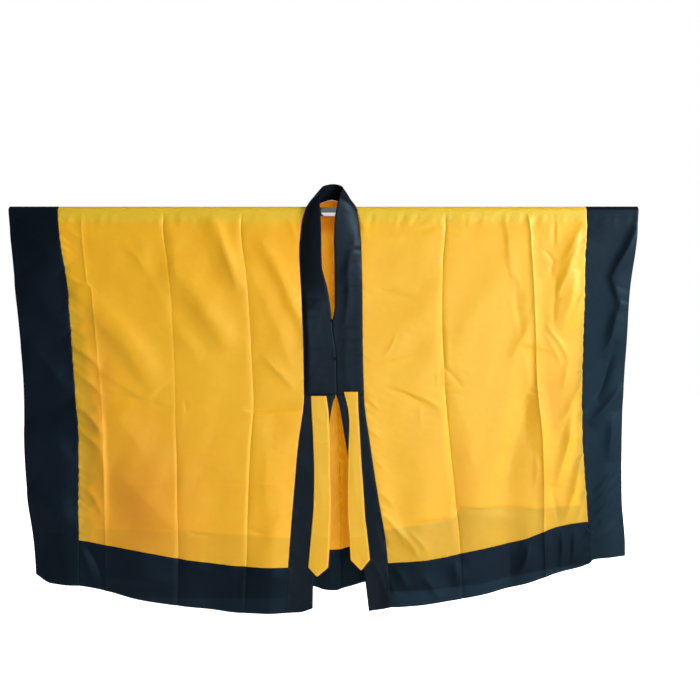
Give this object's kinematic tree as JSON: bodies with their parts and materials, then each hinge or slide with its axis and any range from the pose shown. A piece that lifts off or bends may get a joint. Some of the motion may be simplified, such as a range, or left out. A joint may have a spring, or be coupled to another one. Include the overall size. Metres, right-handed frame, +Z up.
{
  "type": "taoist robe on a hanging pole",
  "caption": "Open-fronted yellow satin robe with broad black bands on sleeves, hems and front, a standing neck band and pointed ties, hung on a plain steel pole.",
  "frame": {"origin": "middle of the pole's axis, which holds the robe up", "axes": "+X along the pole, to the right of someone who looks at the front; the front faces -Y; +Z up"},
  "size_m": [1.8946, 0.1331, 1.3015],
  "materials": {
    "yellow_satin": "golden-yellow polyester satin with a soft sheen",
    "black_satin": "blue-black polyester satin, doubled as bands",
    "black_cord": "black knotted cord",
    "steel": "bright drawn steel tube"
  },
  "bodies": {
    "root": {"front_left": "yellow_satin", "front_right": "yellow_satin", "back_left": "yellow_satin", "back_right": "yellow_satin", "tie_left": "yellow_satin", "tie_right": "yellow_satin", "hem_band_front_left": "black_satin", "hem_band_front_right": "black_satin", "hem_band_back_left": "black_satin", "hem_band_back_right": "black_satin", "sleeve_band_front_left": "black_satin", "sleeve_band_front_right": "black_satin", "sleeve_band_back_left": "black_satin", "sleeve_band_back_right": "black_satin", "front_edge_band_left": "black_satin", "front_edge_band_right": "black_satin", "neck_band": "black_satin", "closure_upper": "black_cord", "closure_lower": "black_cord", "pole": "steel"}
  },
  "joints": []
}
